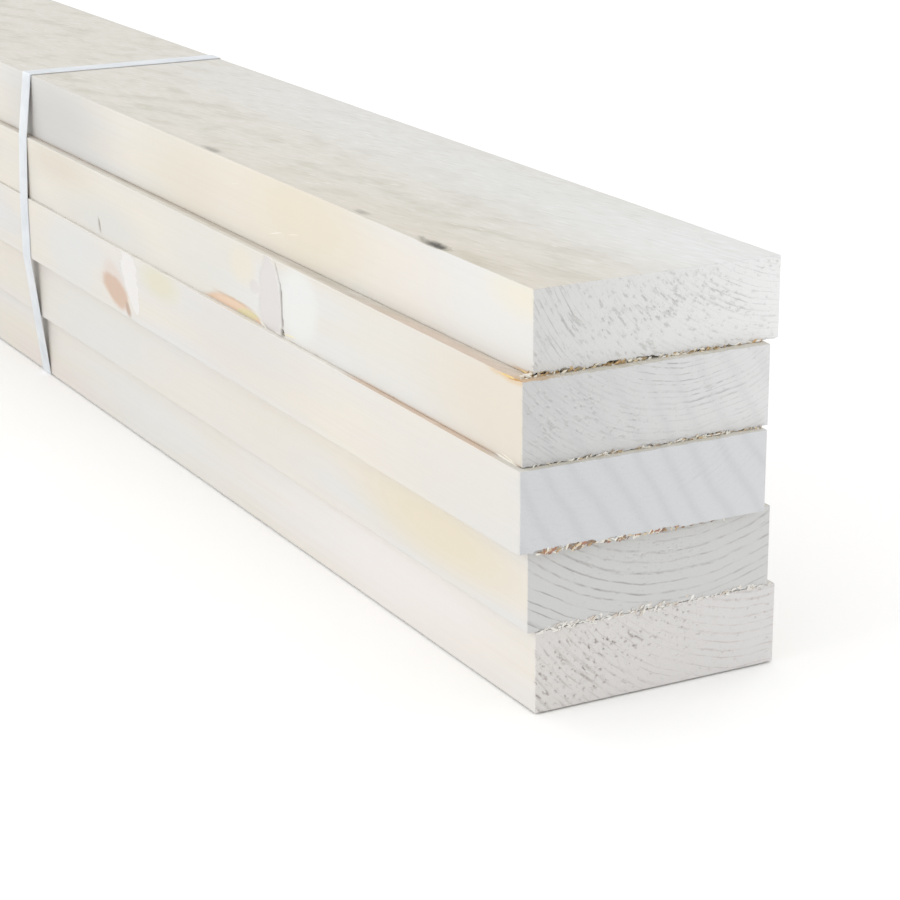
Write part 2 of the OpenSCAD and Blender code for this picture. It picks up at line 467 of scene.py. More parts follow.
# marks on the upper faces: the distance from board_4's near end, and across from the middle
topMarks = {
    "board_3": [
        # painted light: the narrow ledge under board_4 is painted pale against the shade board_4 casts on it
        {"at": (520, -72), "half": (360, 7), "soft": 0.2, "colour": "eae8e3", "strength": 0.95},
        # painted shade: near the end the ledge is painted pinkish-brown, a joint line where shade falls
        {"at": (108, -72), "half": (88, 7), "soft": 0.25, "colour": "d8c3b1", "strength": 0.85},
    ],
    "board_4": [
        {"at": (70, -72), "half": (120, 9), "soft": 0.6, "colour": "dac8b9", "strength": 0.75},
        # painted shade: the ledge under board_5 is darker, mostly along board_5 where it shades the ledge
        {"at": (560, -72), "half": (380, 9), "soft": 0.6, "colour": "c5bbb0", "strength": 0.7},
        # painted light: the ledge's outer strip is painted pale
        {"at": (500, -73), "half": (340, 4.8), "soft": 0.3, "colour": "e4e2dc", "strength": 0.9},
        {"at": (0, -66), "half": (14, 16), "soft": 0.6, "colour": "cbac85", "strength": 0.7, "ragged": 0.3},
    ],
    "board_5_top": [
        {"at": (40, -66), "half": (420, 26), "soft": 0.9, "colour": "d4cdc1", "strength": 0.6},
        # painted light: these pale, cool patches make the top brighter towards its back edge and its near end
        {"at": (150, 44), "half": (300, 52), "soft": 0.9, "colour": "dbdddd", "strength": 0.75},
        {"at": (20, 50), "half": (120, 50), "soft": 0.9, "colour": "e1e3e5", "strength": 0.7},
        {"at": (500, 50), "half": (240, 50), "soft": 0.9, "colour": "dadbdb", "strength": 0.6},
        {"at": (72, -67), "half": (34, 7), "soft": 0.8, "colour": "bdb9a6", "strength": 0.5, "ragged": 0.4},
    ],
}


def paintOver(paint, strength, code):
    # lays a colour over what is painted already
    colour = np.array(hexColour(code)[:3])
    kept = paint[:, 3] * (1 - strength)
    share = kept + strength
    blend = (paint[:, :3] * kept[:, None] + colour * strength[:, None]) / np.maximum(share, 1e-6)[:, None]
    paint[:, :3] = np.where(share[:, None] > 1e-6, blend, paint[:, :3])
    paint[:, 3] = share


def markShare(mark, fromEnd, height, seed):
    # how much of a mark lies at each place: 1 inside, 0 outside; "height" runs across on an upper face
    up = (height - mark["at"][1]) / mark["half"][1]
    along = fromEnd - mark["at"][0] - mark.get("lean", 0) * (height - mark["at"][1])
    along = along / mark["half"][0] / (1 + mark.get("taper", 0) * np.clip(up, -1, 1))
    reach = np.hypot(along, up)
    if "ragged" in mark:
        tuftLong, tuftHigh = 7, 4.5
        fray = layeredNoise(np.c_[fromEnd / tuftLong, height / tuftHigh, np.full_like(height, 3.3)], seed)
        reach += mark["ragged"] * fray
    return 1 - easeBetween(reach, 1 - mark["soft"], 1 + mark["soft"] * 0.5)


def boardPoints(xs, rimY, rimZ, length, width, thick):
    # a board's points before any wear, the way outwards at each, whether it belongs to a cut end, and
    # whether it lies in the cut itself
    arris = boardShape["arris"]
    x = np.repeat(xs, len(rimY))
    y, z, outY, outZ = (np.tile(v, len(xs)) for v in roundOff(rimY, rimZ, width, thick, arris))
    isEnd = np.zeros(len(x), bool)
    inCut = np.zeros(len(x), bool)

    # the two cut ends: fine grids, whose outermost points lie a little back from the cut
    grids = []
    for end, step in ((-1, boardShape["farEndStep"]), (1, boardShape["nearEndStep"])):
        endY = sidePlaces(width / 2, arris, step)
        endZ = sidePlaces(thick / 2, arris, step) + thick / 2
        grids.append((end, len(x), endY, endZ))
        gy, gz = (g.ravel() for g in np.meshgrid(endY, endZ, indexing="ij"))
        onRim = (gy == endY[0]) | (gy == endY[-1]) | (gz == endZ[0]) | (gz == endZ[-1])
        ry, rz, ny, nz = roundOff(gy, gz, width, thick, arris)
        x = np.concatenate([x, (length / 2 - boardShape["endRound"] * onRim) * end])
        y, z = np.concatenate([y, ry]), np.concatenate([z, rz])
        outY, outZ = np.concatenate([outY, ny * onRim]), np.concatenate([outZ, nz * onRim])
        isEnd = np.concatenate([isEnd, np.ones(len(gy), bool)])
        inCut = np.concatenate([inCut, ~onRim])
    return x, y, z, outY, outZ, isEnd, inCut, grids


def wearFaces(name, x, y, z, outY, outZ, inCut, paint):
    # wears and paints the long faces
    look, place, shape = boards[name], places[name], boardShape
    seed = look["seed"]
    flat = (abs(outZ) > 0.99).astype(float)
    corner = (abs(outY) > 0.3) & (abs(outZ) > 0.3)

    # the saw's and the planer's wander, always into the wood so that boards only touch
    spot = np.c_[x / shape["hollowLong"], y / shape["hollowWide"], z / shape["hollowWide"]]
    inwards = flat * shape["sawnHollow"] * (0.5 + 0.5 * layeredNoise(spot, seed))
    inwards += (1 - flat) * shape["planedHollow"] * (0.5 + 0.5 * smoothNoise(spot, seed + 3))
    spot = np.c_[x / shape["dentLong"], y / shape["dentWide"], z / shape["dentWide"]]
    inwards += corner * shape["arrisWear"] * np.clip(layeredNoise(spot, seed + 7), 0, 1)
    inwards[inCut] = 0

    # the rims of the wide faces were planed with the sides
    rim = 1 - easeBetween(place["width"] / 2 - abs(y), shape["rimPale"] / 2, shape["rimPale"])
    paintOver(paint, flat * rim * shape["rimShare"], look["rimTone"])

    fromMark = markPlane - place["middle"][0] - x
    for mark in sideMarks[name]:
        share = markShare(mark, fromMark, z, seed + 29) * (outY < -0.05)
        paintOver(paint, share * mark["strength"], mark["colour"])
        inwards += share * mark.get("deep", 0)
    for mark in topMarks.get(name, []):
        share = markShare(mark, fromMark, y, seed + 31) * (outZ > 0.5)
        paintOver(paint, share * mark["strength"], mark["colour"])
    return y - outY * inwards, z - outZ * inwards


def buildBoard(name):
    # one board as a single mesh, with its own marks, worn arrises and rough ends
    look, place, shape = boards[name], places[name], boardShape
    length, width, thick = place["length"], place["width"], place["thick"]
    ys = sidePlaces(width / 2, shape["arris"], shape["faceStep"], shape["rimWide"], shape["rimStep"])
    zs = sidePlaces(thick / 2, shape["arris"], shape["edgeStep"]) + thick / 2
    rimY, rimZ, rimAlong = rimOrder(ys, zs)[1:]
    xs = ringPlaces(length, look)
    x, y, z, outY, outZ, isEnd, inCut, grids = boardPoints(xs, rimY, rimZ, length, width, thick)

    paint = np.zeros((len(x), 4))
    cut = np.zeros((len(x), 4))
    around = len(rimY)
    upright = abs(outZ[:around] + np.roll(outZ[:around], -1)) > 1.5     # stretches of the sawn wide faces
    y, z = wearFaces(name, x, y, z, outY, outZ, inCut, paint)
    if name == "board_5_top":
        z = cutBarkPockets(x, y, z, paint, length, width, thick, look["seed"])
    z = z + wearAtEnds(name, look, x, y, z, length, thick, paint)
    x = cutEnds(name, look, x, y, z, paint, cut, isEnd, thick)
    faces, slots, spread = boardFaces(xs, around, rimAlong, upright, grids, 2 * (width + thick))

    turn = np.array([[math.cos(place["angle"]), -math.sin(place["angle"])],
                     [math.sin(place["angle"]), math.cos(place["angle"])]])
    ground = np.c_[x, y] @ turn.T + place["middle"][:2]
    points = np.c_[ground, z + place["under"]] * mm
    pieceName = name.replace("_bottom", "").replace("_top", "") + "_timber"
    return addMesh(pieceName, points, faces, slots, {"paint": paint, "cut": cut}, spread)


def boardFaces(xs, around, rimAlong, upright, grids, total):
    # faces, their materials (0 planed, 1 sawn, 2 cut end) and where each lies on the flat map: the long
    # faces unrolled below, finer where the rings of points are closer, and the two ends side by side above
    faces, slots, spread = [], [], []
    ring = np.arange(around)
    nextOne = np.roll(ring, -1)
    # shares of the map's side: the long faces' height, its edge, and an end's width, height and margins
    sleeve, edge = 0.84, 0.006
    endWide, endHigh, endLeft, endBelow = 0.47, 0.142, 0.015, 0.009
    along = np.append(rimAlong, total) / total * sleeve
    across = np.linspace(2 * edge, 1 - 2 * edge, len(xs))
    for k in range(len(xs) - 1):
        low, high = k * around, (k + 1) * around
        faces += np.c_[low + ring, low + nextOne, high + nextOne, high + ring].tolist()
        slots += upright.astype(int).tolist()
        here, there = np.full(around, across[k]), np.full(around, across[k + 1])
        quads = [here, along[:-1], here, along[1:], there, along[1:], there, along[:-1]]
        spread.append(np.stack(quads, axis=1))
    spread = np.concatenate(spread).reshape(-1, 2).tolist()
    for end, start, endY, endZ in grids:
        n, m = len(endY), len(endZ)
        i, j = (g.ravel() for g in np.meshgrid(np.arange(n - 1), np.arange(m - 1), indexing="ij"))
        a = start + i * m + j
        order = [(0, 0), (1, 0), (1, 1), (0, 1)][::end]
        faces += np.stack([a + di * m + dj for di, dj in order], axis=1).tolist()
        slots += [2] * len(a)
        mapY = (endY / np.ptp(endY) + 0.5) * endWide + (0.5 + endLeft if end > 0 else endLeft)
        mapZ = endZ / np.ptp(endZ) * endHigh + sleeve + endBelow
        corners = [np.c_[mapY[i + di], mapZ[j + dj]] for di, dj in order]
        spread += np.stack(corners, axis=1).reshape(-1, 2).tolist()

        # a strip of triangles joins the fine rim of the cut to the coarse ring of the long faces
        endSteps, endAlong = rimOrder(endY, endZ)[::3]
        fine = [start + p * m + q for p, q in endSteps]
        coarse = (len(xs) - 1 if end > 0 else 0) * around
        rimMap, ringMap = (1 - edge, across[-1]) if end > 0 else (edge, across[0])
        endAlong = np.append(endAlong, total)
        p = q = 0
        while p < len(fine) or q < around:
            here, there = fine[p % len(fine)], coarse + q % around
            hereMap = (rimMap, endAlong[p] / total * sleeve)
            thereMap = (ringMap, along[q])
            slots.append(int(upright[min(q, around - 1)]))
            if q == around or (p < len(fine) and endAlong[p + 1] <= along[q + 1] / sleeve * total):
                p += 1
                beyond, beyondMap = fine[p % len(fine)], (rimMap, endAlong[p] / total * sleeve)
            else:
                q += 1
                beyond, beyondMap = coarse + q % around, (ringMap, along[q])
            triangle = [(there, thereMap), (beyond, beyondMap), (here, hereMap)][::end]
            faces.append([corner for corner, spot in triangle])
            spread += [spot for corner, spot in triangle]
    return faces, slots, spread


def addMesh(name, points, faces, slots, colours, spread=None):
    # smooth but for its sharp corners; "spread" is where each face corner lies on the flat map
    mesh = bpy.data.meshes.new(name)
    mesh.from_pydata(points.tolist(), [], faces)
    mesh.polygons.foreach_set("material_index", slots)
    for layerName, values in colours.items():
        layer = mesh.color_attributes.new(layerName, "FLOAT_COLOR", "POINT")
        layer.data.foreach_set("color", np.array(values, np.float32).ravel())
    if spread is not None:
        flatMap = mesh.uv_layers.new(name="OFBake", do_init=False)
        flatMap.data.foreach_set("uv", np.array(spread, np.float32).ravel())
    mesh.shade_smooth()
    mesh.set_sharp_from_angle(angle=math.radians(sharpTurn))
    piece = bpy.data.objects.new(name, mesh)
    bpy.context.scene.collection.objects.link(piece)
    return piece


def cutBarkPockets(x, y, z, paint, length, width, thick, seed):
    # round-bottomed hollows along the front upper edge, grey where bark is left in them
    look = barkLook
    fromEnd = length / 2 - x
    inset = y + width / 2 - look["inset"]
    upper = z > thick / 2
    spot = np.c_[fromEnd / look["raggedLong"], y / look["raggedWide"], np.zeros_like(y)]
    rough = look["ragged"] * layeredNoise(spot, seed + 71)
    for pocket in look["pockets"]:
        along = (fromEnd - pocket["fromEnd"]) / (pocket["long"] / 2)
        floor = thick - pocket["deep"] * (1 - along ** 2) + inset ** 2 / (2 * look["round"])
        z = np.where((abs(along) < 1) & upper, np.minimum(z, floor), z)
        reach = np.hypot(along * 0.95, (inset - look["stainInset"]) / look["stainWide"]) + rough
        paintOver(paint, (1 - easeBetween(reach, 0.1, 1.0)) * upper * pocket["dark"], look["tone"])
    return z


def spotShare(base, spots, across, up, noise):
    # how clearly something shows at each place: a base, more in some spots, all of it uneven
    total = np.full_like(across, base)
    for atAcross, atUp, halfAcross, halfUp, strength in spots:
        reach = np.hypot((across - atAcross) / halfAcross, (up - atUp) / halfUp) + 0.3 * noise
        total += strength * (1 - easeBetween(reach, 0.5, 1.2))
    return np.clip(total * (1 + 0.8 * noise), 0, 1)


# what the saw left on the cut ends, in mm
cutLook = {
    "setBack": 0.14,                          # of the cut from the CAD end, so that no fibre stands past it
    "grit": 0.9, "gritDeep": 0.03,            # a crumb of broken cells
    "stroke": 15,                             # from one stroke of the saw to the next
    "strokeWay": (0.87, 0.5),                 # the way they follow each other, across and up
    "strokeTone": "adb0b2",
    "strokeBend": (40, 0.3),                  # how long their bends are, and how deep, in strokes
    "yearBend": (24, 0.25),                   # the same for the years
    "patchWide": 14, "patchHigh": 10,         # a patch with more torn cells
    "rowRadius": 110,                         # from the heart, where turns count as lengths
    "lipHighlightTone": "e6e5e2", "lipHigh": 0.1,      # loose fibres beside the torn cells, painted pale partly as a highlight beside each tear
    "lipHighlightShare": 1.25,                         # how strong they are painted, where 1 is as strong as a tear
}


def tearShare(cells, torn):
    # where the cells tear out: more of them where "torn" is higher
    return easeBetween(cells, 0.5 - 0.4 * torn, 0.8 - 0.35 * torn) * np.sqrt(torn)


def cutEnds(name, look, x, y, z, paint, cut, isEnd, thick):
    # saw marks and torn fibres of the two cut ends
    seed = look["seed"]
    pithY, pithZ = look["pith"]
    for end in (-1, 1):
        pick = isEnd & (x * end > 0)
        py, pz = y[pick], z[pick]
        side = np.full_like(py, end * 3)
        grit = layeredNoise(np.c_[py / cutLook["grit"], pz / cutLook["grit"], side], seed + 9, 2)
        wayY, wayZ = cutLook["strokeWay"]
        long, far = cutLook["strokeBend"]
        slant = (py * wayY + pz * wayZ) / cutLook["stroke"]
        slant = slant + far * layeredNoise(np.c_[py / long, pz / long, side], seed + 2)
        bands = (0.5 + 0.5 * np.cos(slant * 2 * math.pi)) ** 3
        # cells tear out in short rows that follow the years, mostly in the soft wood of each year
        away = np.hypot(py - pithY, pz - pithZ)
        swing = np.arctan2(pz - pithZ, py - pithY) * cutLook["rowRadius"]
        long, far = cutLook["yearBend"]
        years = away / look["ringStep"] + far * layeredNoise(np.c_[py / long, pz / long, side], seed + 4)
        inRow = 1 - look["inRows"] * easeBetween(abs(years % 1 - 0.5), 0.12, 0.34)
        patches = layeredNoise(np.c_[py / cutLook["patchWide"], pz / cutLook["patchHigh"], side], seed + 6)
        torn = spotShare(look["tornShow"], look["tornSpots"], py * end, pz, patches)
        row = swing / look["tearRun"]
        cells = layeredNoise(np.c_[away, row, side], seed + 13)
        # the lips are the tears shifted a little, so that beside each dark tear lies a pale painted highlight
        beside = layeredNoise(np.c_[away + 0.8, row + 0.1, side], seed + 13)
        pits = tearShare(cells, torn) * inRow
        lips = tearShare(beside, torn) * inRow * (1 - pits)
        deep = cutLook["setBack"] + cutLook["gritDeep"] * grit + look["sawBand"] * bands
        deep += look["tearDepth"] * pits - cutLook["lipHigh"] * lips
        # the rims beside a worn gap crumble
        for upper in (True, False):
            gap = gapAt(name, upper, end * py)[0]
            fromRim = abs(pz - (thick if upper else 0))
            crumble = gap * np.exp(-(fromRim / gapWear["crumbHigh"]) ** 2) * (0.6 + 1.1 * grit)
            deep += np.clip(crumble, 0, 3)
        x[pick] -= end * np.clip(deep, 0, 4)
        layer = paint[pick]
        paintOver(layer, bands * look["bandShow"], cutLook["strokeTone"])
        # painted shade in the tears and a painted highlight on the fibres beside them, over their real depth
        # and lift
        paintOver(layer, pits * look["tearDark"], look["tearTone"])
        paintOver(layer, lips * look["tearDark"] * cutLook["lipHighlightShare"], cutLook["lipHighlightTone"])
        paint[pick] = layer
        # for the material: how clearly years and torn cells show, and how far across each place is, which
        # sets the painted light that makes the end paler towards its right
        cut[pick, 0] = spotShare(look["ringShow"], look["ringSpots"], py * end, pz, np.roll(patches, 7))
        cut[pick, 1] = torn
        cut[pick, 2] = py * end / places[name]["width"] + 0.5
    return x


# spruce, a pale softwood; all lengths in mm
spruceLook = {
    "sideRough": 0.46,               # planed: a low, silky sheen
    "sawnRough": 0.82,               # straight from the saw: furry and dull
    "endRough": 0.88,                # cross-cut: open pores, duller still
    "ringOnSide": 0.05,              # how strongly year rings show on planed sides
    "wander": 5,                     # how far the heart of the tree strays from a straight line
    "wanderLong": 1250, "wanderWide": 36,
    "patchLong": 310, "patchWide": 42,
    "lineLong": 110, "lineWide": 1.4,
    "planerStep": 2.2,               # one cutter mark to the next
    "fleckTurn": 11,                 # degrees by which the grain runs across the boards
    "fleckLong": 15, "fleckWide": 2.4,
    "streakLong": 42, "streakWide": 16,
    "fibre": 0.5,                    # bundle of cells; a cell itself is 0.03 and wouldn't show
    "fuzz": 0.75,
    "ringBitWide": 2.2, "ringBitLong": 9,     # an unbroken bit of a year ring on a cut end
    "tearWide": 0.6, "tearLong": 1.7,         # a row of torn cells on a cut end
    "rowRadius": 120,                # from the heart of the tree, where turns count as lengths
}


def grainPattern(material, source, pattern, shift, detail, roughness=0.5):
    # noise drawn out along the board, as long and wide as the pattern's two values say
    long, wide = spruceLook[pattern + "Long"], spruceLook[pattern + "Wide"]
    perMetre = (1000 / long, 1000 / wide, 1000 / wide)
    stretched = addNode(material, "Mapping", {"Vector": source, "Location": shift, "Scale": perMetre})
    return addNode(material, "TexNoise", {"Vector": stretched, "Scale": 1.0, "Detail": detail,
                                          "Roughness": roughness})


def waveScale(period):
    # the scale at which a Wave texture repeats every so many mm
    return math.pi / 10 / (period * mm)


def yearRings(material, name):
    # rings round the heart of the tree: how far through its year each place is, 0 to 1, and how far it
    # lies from the heart, as a length and as a way
    look, place = boards[name], places[name]
    coords = addNode(material, "TexCoord").outputs["Object"]
    wander = grainPattern(material, coords, "wander", (look["seed"], 0, 0), 3.0, 0.55)
    stray = spruceLook["wander"] * mm
    shift = addNode(material, "VectorMath", {0: wander.outputs["Color"], 1: [stray] * 3,
                                             2: [-stray / 2] * 3}, operation="MULTIPLY_ADD")
    moved = addNode(material, "VectorMath", {0: coords, 1: shift}, operation="ADD")
    heartY = (place["middle"][1] + look["pith"][0]) * mm
    heartZ = (place["under"] + look["pith"][1]) * mm
    fromHeart = addNode(material, "VectorMath", {0: moved, 1: (0, 1, 1), 2: (0, -heartY, -heartZ)},
                        operation="MULTIPLY_ADD")
    radius = addNode(material, "VectorMath", {0: fromHeart}, operation="LENGTH")
    count = addNode(material, "Math", {0: radius, 1: 1 / (look["ringStep"] * mm)}, operation="MULTIPLY")
    uneven = addNode(material, "TexNoise", {"W": count, "Scale": 0.9, "Detail": 1.0}, noise_dimensions="1D")
    shifted = addNode(material, "Math", {0: uneven, 1: 0.9, 2: count}, operation="MULTIPLY_ADD")
    share = addNode(material, "Math", {0: shifted}, operation="FRACT")
    return {"share": share, "radius": radius, "fromHeart": fromHeart, "coords": coords}


def finishWood(material, colour, bump, roughness, shade=None):
    # the painted marks lie over the wood's own colour, and the fur of a sawn face over both
    marks = addNode(material, "Attribute", attribute_name="paint")
    painted = addNode(material, "Mix", {0: marks.outputs["Alpha"], 6: colour, 7: marks.outputs["Color"]},
                      data_type="RGBA")
    if shade is not None:
        painted = addNode(material, "Mix", {0: 1.0, 6: painted, 7: shade}, data_type="RGBA",
                          blend_type="MULTIPLY")
    return finishMaterial(material, {"Base Color": painted, "Roughness": roughness, "IOR": 1.5,
                                     "Normal": bump})


def planedSpruce(name):
    # spruce put through a planer: smooth and pale, faint lines along the grain, tiny ripples across it
    look = boards[name]
    material = newMaterial("planed_spruce_" + name)
    rings = yearRings(material, name)
    late = addNode(material, "ValToRGB", {"Fac": rings["share"]})
    rampStops(late, [(0.0, "000000"), (0.55, "000000"), (0.93, "ffffff"), (1.0, "000000")])
    lines = grainPattern(material, rings["coords"], "line", (0, look["seed"], 0), 3.0, 0.6)
    patches = grainPattern(material, rings["coords"], "patch", (look["seed"], 3, 0), 2.0)
    tone = addNode(material, "ValToRGB", {"Fac": patches})
    rampStops(tone, [(0.3, "d0d1d1"), (0.46, look["sideTone"]), (0.6, "d6d1c7"), (0.72, "d6cfc9")])
    ringShare = addNode(material, "Math", {0: late, 1: spruceLook["ringOnSide"]}, operation="MULTIPLY")
    lined = addNode(material, "Mix", {0: ringShare, 6: tone, 7: hexColour("b79c7c")}, data_type="RGBA")
    fine = addNode(material, "MapRange", {"Value": lines, "From Min": 0.3, "From Max": 0.7,
                                          "To Min": 0.982, "To Max": 1.01})
    shaded = addNode(material, "VectorMath", {0: lined, 1: fine}, operation="MULTIPLY")
    ripples = addNode(material, "TexWave", {"Vector": rings["coords"], "Distortion": 0.6,
                                            "Scale": waveScale(spruceLook["planerStep"])},
                      bands_direction="X")
    low = addNode(material, "Bump", {"Height": ripples.outputs["Fac"], "Strength": 0.05, "Distance": 0.0001})
    bump = addNode(material, "Bump", {"Height": lines, "Normal": low, "Strength": 0.25, "Distance": 0.0002})
    return finishWood(material, shaded, bump, spruceLook["sideRough"])


def sawnSpruce(name):
    # spruce as it leaves the saw: grey-beige, furry, with short pale fibres torn up across the grain
    look = boards[name]
    material = newMaterial("sawn_spruce_" + name)
    coords = addNode(material, "TexCoord").outputs["Object"]
    turned = addNode(material, "Mapping", {"Vector": coords,
                                           "Rotation": (0, 0, math.radians(-spruceLook["fleckTurn"]))})
    flecks = grainPattern(material, turned, "fleck", (look["seed"], 0, 0), 2.5, 0.55)
    streaks = grainPattern(material, turned, "streak", (0, look["seed"], 0), 3.0, 0.6)
    tone = addNode(material, "ValToRGB", {"Fac": streaks})
    rampStops(tone, [(0.32, "cbc8bf"), (0.5, look["sawnTone"]), (0.66, "d9d6d0")])
    shade = addNode(material, "ValToRGB", {"Fac": flecks})
    rampStops(shade, [(0.28, "eeece7"), (0.44, "f6f5f3"), (0.58, "f8f7f6"), (0.7, "ffffff")])
    fuzz = addNode(material, "TexNoise", {"Vector": coords, "Scale": 1000 / spruceLook["fuzz"],
                                          "Detail": 2.0})
    low = addNode(material, "Bump", {"Height": flecks, "Strength": 0.35, "Distance": 0.0006})
    bump = addNode(material, "Bump", {"Height": fuzz, "Normal": low, "Strength": 0.2, "Distance": 0.0002})
    return finishWood(material, tone, bump, spruceLook["sawnRough"], shade)


def crossCutSpruce(name):
    # spruce cut across the grain: cool grey, broken year rings, rough with cell ends torn along the rings
    look = boards[name]
    material = newMaterial("cross_cut_spruce_" + name)
    rings = yearRings(material, name)
    late = addNode(material, "ValToRGB", {"Fac": rings["share"]})
    rampStops(late, [(0.0, "404040"), (0.06, "000000"), (0.66, "101010"), (0.86, "ffffff"), (0.95, "e0e0e0"),
                     (1.0, "404040")])
    # how clearly the rings and torn cells show here, and how far across the end it is, which sets its painted
    # light
    cut = addNode(material, "Attribute", attribute_name="cut")
    shows = addNode(material, "SeparateColor", {"Color": cut})
    # a place on the cut end as rows out from the heart and steps along each row
    fromHeart = addNode(material, "SeparateXYZ", {"Vector": rings["fromHeart"]})
    turn = addNode(material, "Math", {0: fromHeart.outputs["Z"], 1: fromHeart.outputs["Y"]},
                   operation="ARCTAN2")
    patterns = []
    for pattern, seedShift in (("ringBit", 5), ("tear", 0)):
        wide, long = spruceLook[pattern + "Wide"], spruceLook[pattern + "Long"]
        rows = addNode(material, "Math", {0: rings["radius"], 1: 1 / (wide * mm)}, operation="MULTIPLY")
        steps = addNode(material, "Math", {0: turn, 1: spruceLook["rowRadius"] / long}, operation="MULTIPLY")
        spot = addNode(material, "CombineXYZ", {"X": rows, "Y": steps, "Z": look["seed"] + seedShift})
        patterns.append(addNode(material, "TexNoise", {"Vector": spot, "Scale": 1.0, "Detail": 2.0,
                                                       "Roughness": 0.6}))
    broken, torn = patterns
    gaps = addNode(material, "MapRange", {"Value": broken, "From Min": 0.4, "From Max": 0.6,
                                          "To Min": 0.1, "To Max": 1.0})
    unbroken = addNode(material, "Math", {0: late, 1: gaps}, operation="MULTIPLY")
    shown = addNode(material, "Math", {0: unbroken, 1: shows.outputs["Red"]}, operation="MULTIPLY")
    # painted light: the end's tone grows paler from its left to its right
    base = addNode(material, "Mix", {0: shows.outputs["Blue"], 6: hexColour(look["endTone"]),
                                     7: hexColour(look["endRightPaintedLight"])}, data_type="RGBA")
    ringed = addNode(material, "Mix", {0: shown, 6: base, 7: hexColour(look["endLate"])}, data_type="RGBA")
    # dark pits where cells tore out, and pale specks of loose fibre
    coloured = ringed
    for start, end, code in ((0.64, 0.74, "938d89"), (0.34, 0.26, "e6e5e2")):
        spots = addNode(material, "MapRange", {"Value": torn, "From Min": start, "From Max": end})
        share = addNode(material, "Math", {0: spots, 1: shows.outputs["Green"]}, operation="MULTIPLY")
        coloured = addNode(material, "Mix", {0: share, 6: coloured, 7: hexColour(code)}, data_type="RGBA")
    grit = addNode(material, "TexNoise", {"Vector": rings["coords"], "Scale": 1000 / spruceLook["fibre"],
                                          "Detail": 3.0, "Roughness": 0.7})
    gritTone = addNode(material, "MapRange", {"Value": grit, "From Min": 0.25, "From Max": 0.75,
                                              "To Min": 0.965, "To Max": 1.03})
    shaded = addNode(material, "VectorMath", {0: coloured, 1: gritTone}, operation="MULTIPLY")
    low = addNode(material, "Bump", {"Height": torn, "Strength": 0.35, "Distance": 0.0004})
    bump = addNode(material, "Bump", {"Height": grit, "Normal": low, "Strength": 0.35, "Distance": 0.0002})
    return finishWood(material, shaded, bump, spruceLook["endRough"])


for name in boardNames:
    timber = buildBoard(name)
    for material in (planedSpruce(name), sawnSpruce(name), crossCutSpruce(name)):
        timber.data.materials.append(material)
    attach(timber, "root")
    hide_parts(name)
    print("stage 2:", timber.name, len(timber.data.polygons), "faces")


# all lengths in mm; a pair is from and to
tornFibreLook = {
    "onTop": 900,              # pale fibres standing up from the sawn top
    "topLong": (5, 17), "topWide": (0.4, 1.0), "topHigh": (0.25, 0.45),
    "topLift": (0.1, 0.3),     # of the tip
    "topSwing": 4,             # degrees, how much they stray from the grain
    "topTones": ["dfddd6", "d6d4ca", "e5e3dd"],
    "jointLong": (1.8, 3.6), "jointWide": (0.7, 1.3), "jointHigh": (0.6, 1.2),
    "jointSlope": (32, 30),    # degrees: the usual slope and its spread
    "jointFull": 1.3,          # where a gap is this high, splinters fill it
    "jointLean": (-0.2, 0.8),  # how far one leans out of the end
    "sideHigh": 0.7, "sideSunk": 0.12,
    "strand": 1.1,             # across a strand of a torn fibre
}

# single splinters on the front side, in mm: board, from and to as the side marks are measured, width, tone
sideSplinters = [
    ("board_5_top", (313, 9.4), (290, 14.6), 1.3, "e3dfd4"),
    ("board_5_top", (289, 13.6), (268, 17.6), 1.0, "e2dcce"),
    ("board_5_top", (366, 29), (352, 32), 0.9, "e4e0d6"),
    ("board_4", (279, 2.2), (259, 3.6), 1.6, "dfd9bb"),
    ("board_4", (312, 2.6), (299, -0.6), 1.3, "e2dfd6"),
    ("board_4", (30, 0.8), (2, -0.4), 1.8, "e9e6dd"),
    ("board_4", (22, 2.6), (5, 0.2), 1.2, "e5dfd0"),
    ("board_4", (26, 43.2), (3, 43.6), 1.6, "dbbe84"),
    ("board_4", (16, 42.6), (1, 44.2), 1.2, "bd9157"),
    ("board_5_top", (20, 0.8), (5.2, 0.3), 1.3, "d8bd87"),
]


def addSliver(heap, root, tip, up, wide, high, tone):
    # a thin spindle: two tips and two flattened rings of four points between them
    run = tip - root
    side = np.cross(up, run)
    side = side / np.linalg.norm(side)
    lift = np.cross(run, side)
    lift = lift / np.linalg.norm(lift)
    first = len(heap["points"])
    heap["points"].append(root)
    for share, full in ((0.25, 0.8), (0.65, 1.0)):
        middle = root + run * share
        for a, b in ((1, 0), (0, 1), (-1, 0), (0, -1)):
            heap["points"].append(middle + (side * a * wide + lift * b * high) * full / 2)
    heap["points"].append(tip)
    for k in range(4):
        here, after = first + 1 + k, first + 1 + (k + 1) % 4
        heap["faces"].append([first, after, here])
        heap["faces"].append([here, after, after + 4, here + 4])
        heap["faces"].append([first + 9, here + 4, after + 4])
    heap["paint"] += [hexColour(tone)] * (len(heap["points"]) - first)


def onBoard(name, x, y, z):
    # a place on a board, turned with it, in mm in the shared frame
    place = places[name]
    cos, sin = math.cos(place["angle"]), math.sin(place["angle"])
    return np.array([place["middle"][0] + x * cos - y * sin, place["middle"][1] + x * sin + y * cos,
                     place["under"] + z])


